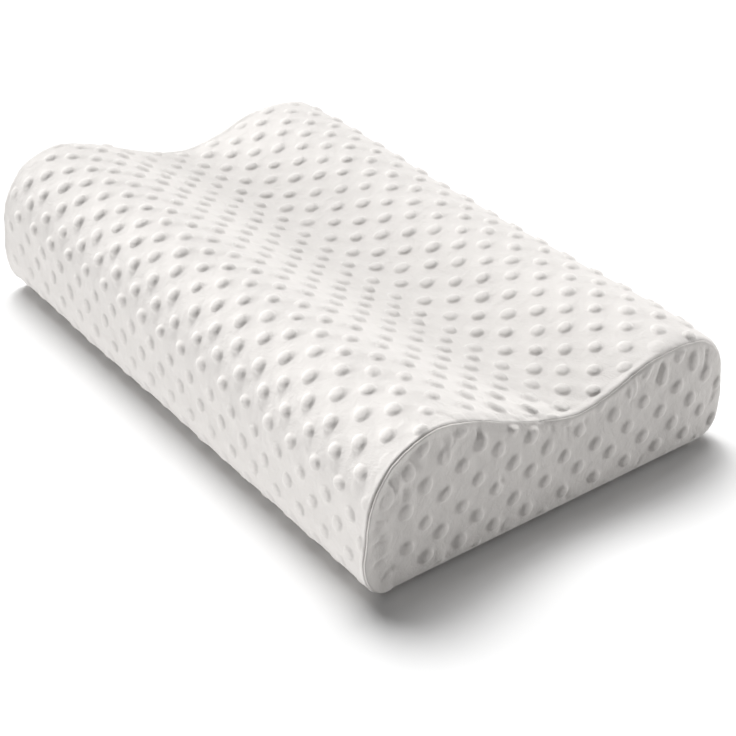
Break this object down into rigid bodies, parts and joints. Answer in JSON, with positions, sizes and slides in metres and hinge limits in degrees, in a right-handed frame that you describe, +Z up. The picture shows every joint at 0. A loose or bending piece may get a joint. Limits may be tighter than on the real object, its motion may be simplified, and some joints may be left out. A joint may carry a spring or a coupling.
{
  "type": "contour pillow",
  "caption": "Contour neck pillow with a high front roll, a hollow and a lower back roll, in white bubble-knit fabric, with flat seamed end panels.",
  "frame": {"origin": "on the resting surface, under the middle of the bounding box", "axes": "+X along the pillow from end panel to end panel, +Y from the high front roll to the low back roll, +Z up"},
  "size_m": [0.5, 0.3235, 0.1181],
  "materials": {
    "wrap_knit": "soft matt warm white bubble knit, raised round bubbles in staggered rows",
    "end_knit": "soft matt warm white bubble knit, the same cloth as the wrap, cut across"
  },
  "bodies": {
    "root": {"pillow_body": "wrap_knit", "end_panel_right": "end_knit", "end_panel_left": "end_knit"}
  },
  "joints": []
}
